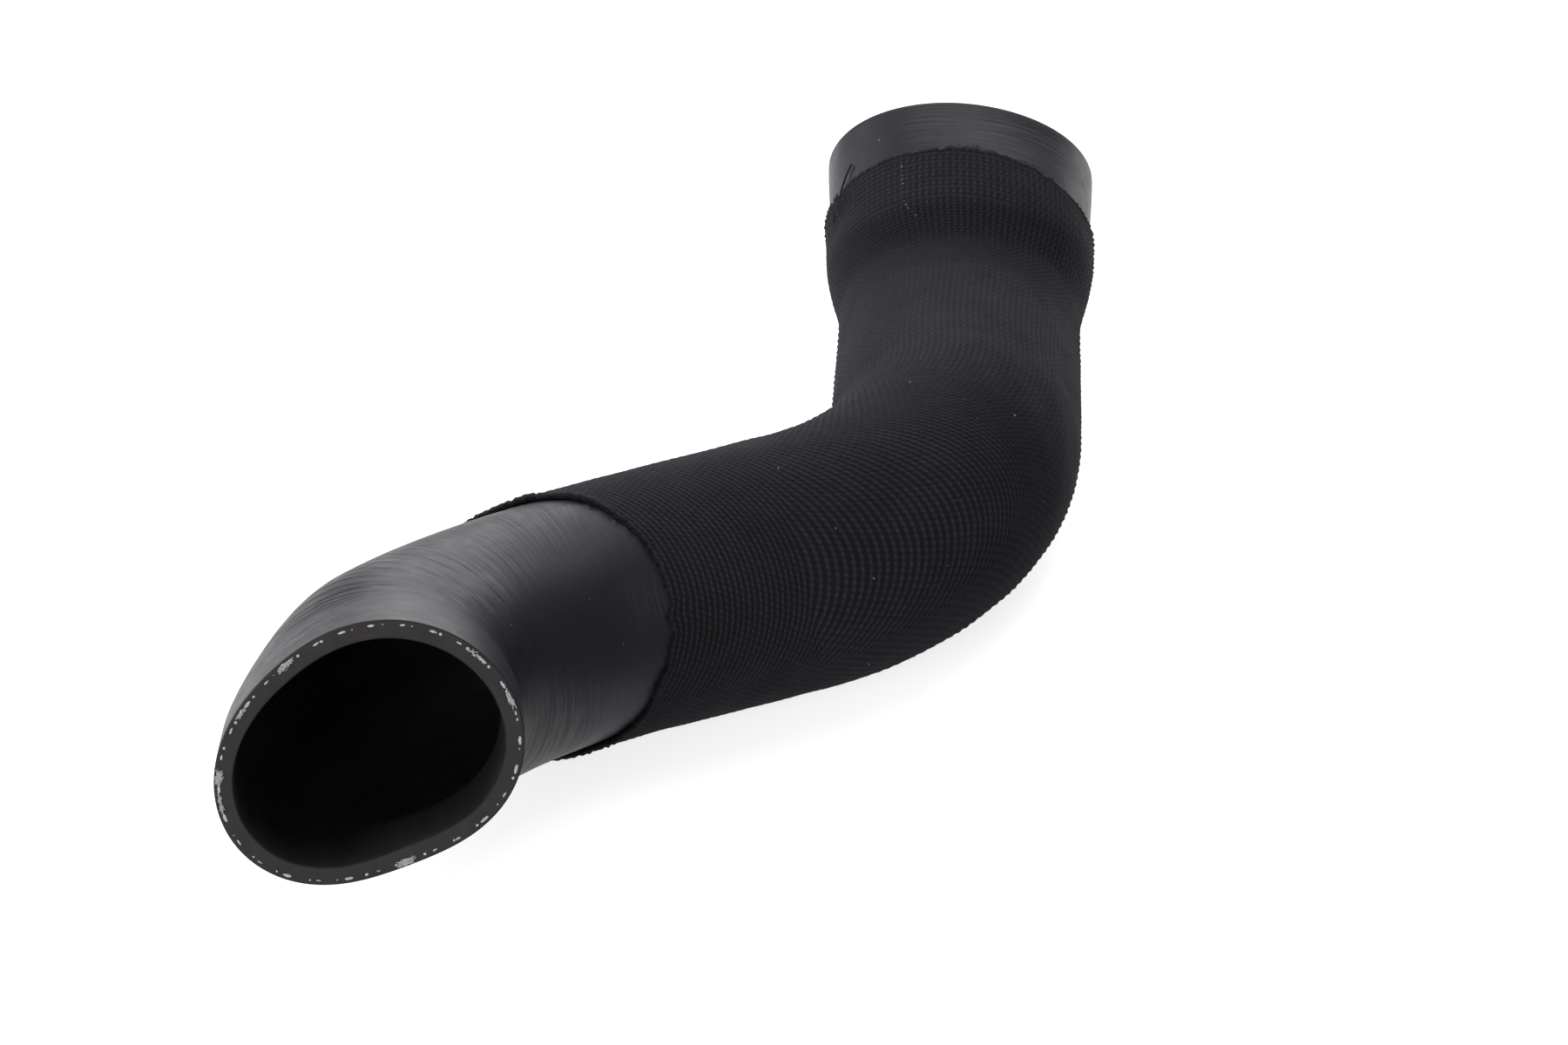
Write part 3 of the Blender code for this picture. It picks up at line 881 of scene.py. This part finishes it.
def make_tracer():
    distance, side = np.array(TRACER_PATH).T
    steps_along = np.linspace(distance[0], distance[-1], 160)
    angle = np.radians(np.interp(steps_along, distance[::-1], side[::-1]))
    stand = SLEEVE_GAP + KNIT_THICKNESS + COURSE_RELIEF + 0.02 * MM
    points = on_hose(steps_along * MM, angle, stand)
    out = points - on_hose(steps_along * MM, angle, 0.0)
    line = drawn("tracer_thread", points, [(i, i + 1) for i in range(len(points) - 1)])
    note(line, "out", out)
    plain = 0.25 + 0.75 * smooth_step(steps_along, 318, 340)
    note(line, "plain", plain + 0.2 * np.exp(-(((steps_along - 240) / 8) ** 2)))

    steps = Forming("tracer_thread", {"Stitch pitch": 1.5 * MM, "Stitch length": 0.52 * MM, "Seed": 8})
    line_in = steps.add("GeometryNodeMeshToCurve", {"Mesh": steps.mesh}).outputs[0]
    resample = steps.add("GeometryNodeResampleCurve", {"Curve": line_in}, mode="LENGTH")
    steps.tree.links.new(steps.given["Stitch pitch"], socket(resample.inputs, "Length"))
    tangent = steps.add("GeometryNodeInputTangent").outputs[0]
    turn = steps.facing(tangent, "X")
    turn = steps.facing(steps.noted("out", "FLOAT_VECTOR"), "Z", turn, "X")
    size = steps.sum("POWER", steps.chance(0.3, 1.05, steps.given["Seed"]), 1.1)
    size = steps.sum("MULTIPLY", size, steps.noted("plain", "FLOAT"))
    size = steps.sum("MULTIPLY", size, steps.given["Stitch length"])
    wide = steps.sum("MULTIPLY", size, 0.5)
    scale = steps.add("ShaderNodeCombineXYZ", {0: size, 1: wide, 2: wide}).outputs[0]
    lump = steps.add("GeometryNodeMeshIcoSphere", {"Radius": 1.0, "Subdivisions": 1}).outputs[0]
    inputs = {"Points": resample.outputs[0], "Instance": lump, "Rotation": turn, "Scale": scale}
    dots = steps.add("GeometryNodeInstanceOnPoints", inputs).outputs[0]
    tracer = steps.form(line, dots, yarn_finish("tracer_yarn", (0.12, 0.115, 0.11), (0.26, 0.25, 0.24)))
    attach(tracer, "root")


make_tracer()

# Lint
# White specks of dust and lint, a few tenths of a millimetre long, that the knit and the rubber
# picked up on the bench. They cling to the surface and are fixed by nothing.


def make_lint():
    distance = np.linspace(4 * MM, HOSE_LENGTH - 4 * MM, 90)[:, None]
    angle = round_the_hose(48)[None]
    under_knit = smooth_step(distance, 140 * MM, 150 * MM) * (1 - smooth_step(distance, 345 * MM, 350 * MM))
    stand = 0.05 * MM + under_knit * (SLEEVE_GAP + KNIT_THICKNESS + COURSE_RELIEF)
    bench = loft("lint_specks", on_hose(distance, angle, stand), distance, False)
    steps = Forming("lint_specks", {"Specks per m2": 950.0, "Speck size": 0.16 * MM, "Seed": 17})
    inputs = {"Mesh": steps.mesh, "Density": steps.given["Specks per m2"], "Seed": steps.given["Seed"]}
    roots = steps.add("GeometryNodeDistributePointsOnFaces", inputs)
    place = steps.add("GeometryNodeInputPosition").outputs[0]
    height = steps.add("ShaderNodeSeparateXYZ", {0: place}).outputs[2]
    # None where the hose lies on the table
    on_table = steps.sum("LESS_THAN", height, 0.6 * MM)
    inputs = {"Geometry": roots.outputs["Points"], "Selection": on_table}
    clear = steps.add("GeometryNodeDeleteGeometry", inputs).outputs[0]
    size = steps.sum("POWER", steps.chance(0.3, 1.2, 19), 2.0)
    size = steps.sum("MULTIPLY", size, steps.given["Speck size"])
    lump = steps.add("GeometryNodeMeshIcoSphere", {"Radius": 1.0, "Subdivisions": 1}).outputs[0]
    long = steps.sum("MULTIPLY", size, 1.7)
    scale = steps.add("ShaderNodeCombineXYZ", {0: size, 1: long, 2: size}).outputs[0]
    inputs = {"Points": clear, "Instance": lump, "Rotation": roots.outputs["Rotation"], "Scale": scale}
    specks = steps.add("GeometryNodeInstanceOnPoints", inputs).outputs[0]
    lint = steps.form(bench, specks, yarn_finish("white_lint", (0.30, 0.30, 0.31), (0.60, 0.60, 0.61)))
    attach(lint, "root")


make_lint()

# Studio
# A white table, with softboxes behind, on the left, overhead and in front, and the camera above
# and in front of the mouth behind a long lens.
CAMERA_PLACE = Vector((0.17728287, -1.02871340, 0.60667137))
CAMERA_RIGHT = Vector((0.98396079, 0.05359556, -0.17014311))
CAMERA_UP = Vector((0.12126748, 0.49853414, 0.85834603))
LENS = 100.0
TABLE_WHITE = (0.82, 0.82, 0.82, 1)
SEEN_GLOW, LIT_GLOW, DIM_GLOW = 0.80, 0.60, 0.20
TABLE_END = (0.05, 0.11)


def make_floor():
    bpy.ops.mesh.primitive_plane_add(size=12.0, location=(0, 0, 0))
    floor = bpy.context.object
    floor.name = "floor"
    material = bpy.data.materials.new("white_table")
    material.use_nodes = True
    nodes = Nodes(material.node_tree)
    nodes.tree.nodes.clear()
    light_path = nodes.add("ShaderNodeLightPath").outputs
    mirrored, seen = light_path["Is Glossy Ray"], light_path["Is Camera Ray"]
    matt = nodes.add("ShaderNodeBsdfDiffuse", {"Color": TABLE_WHITE}).outputs[0]
    glow = nodes.add("ShaderNodeEmission", {"Strength": SEEN_GLOW}).outputs[0]
    white = nodes.add("ShaderNodeAddShader", {0: matt, 1: glow}).outputs[0]
    faint = nodes.add("ShaderNodeEmission", {"Strength": LIT_GLOW}).outputs[0]
    near_by = nodes.add("ShaderNodeAddShader", {0: matt, 1: faint}).outputs[0]
    dark = nodes.add("ShaderNodeEmission", {"Strength": DIM_GLOW}).outputs[0]
    # The lit table ends in front on the right: past it, the rubber reflects a dim room
    place = nodes.add("ShaderNodeTexCoord").outputs["Object"]
    inputs = {0: place, 1: (0.6, -0.8, 0.0)}
    across = nodes.add("ShaderNodeVectorMath", inputs, operation="DOT_PRODUCT").outputs["Value"]
    inputs = {"Value": across, "From Min": TABLE_END[0], "From Max": TABLE_END[1]}
    past = nodes.add("ShaderNodeMapRange", inputs).outputs[0]
    table = nodes.add("ShaderNodeMixShader", {0: past, 1: near_by, 2: dark}).outputs[0]
    choose = nodes.add("ShaderNodeMixShader", {0: mirrored, 1: matt, 2: table}).outputs[0]
    choose = nodes.add("ShaderNodeMixShader", {0: seen, 1: choose, 2: white}).outputs[0]
    nodes.add("ShaderNodeOutputMaterial", {"Surface": choose})
    floor.data.materials.append(material)


def add_softbox(name, place, aim, size, power):
    data = bpy.data.lights.new(name, "AREA")
    data.shape = "RECTANGLE"
    data.size, data.size_y = size
    data.energy = power
    lamp = bpy.data.objects.new(name, data)
    bpy.context.scene.collection.objects.link(lamp)
    lamp.location = place
    lamp.rotation_euler = (Vector(aim) - Vector(place)).to_track_quat("-Z", "Y").to_euler()


def make_world():
    world = bpy.data.worlds.new("studio")
    bpy.context.scene.world = world
    world.use_nodes = True
    shade = world.node_tree.nodes["Background"]
    shade.inputs["Color"].default_value = (1, 1, 1, 1)
    shade.inputs["Strength"].default_value = 0.18


def make_camera():
    back = CAMERA_RIGHT.cross(CAMERA_UP)
    data = bpy.data.cameras.new("photo_camera")
    data.lens = LENS
    data.sensor_width = 36.0
    camera = bpy.data.objects.new("photo_camera", data)
    bpy.context.scene.collection.objects.link(camera)
    turn = Matrix((CAMERA_RIGHT, CAMERA_UP, back)).transposed()
    camera.matrix_world = Matrix.Translation(CAMERA_PLACE) @ turn.to_4x4()
    bpy.context.scene.camera = camera


make_floor()
make_world()
add_softbox("back_wall", (0.3, 1.35, 0.70), (0, 0, 0.05), (1.5, 1.0), 11.8)
add_softbox("left_box", (-1.10, 0.2, 0.62), (0, 0.1, 0.3), (1.6, 1.2), 6.8)
add_softbox("overhead", (0.25, 0.6, 1.45), (0, 0.1, 0), (1.9, 1.3), 11.6)
add_softbox("front_fill", (-0.6, -1.4, 0.7), (0, 0, 0.05), (1.1, 0.9), 8.0)
make_camera()
bpy.context.scene.view_settings.view_transform = "Standard"
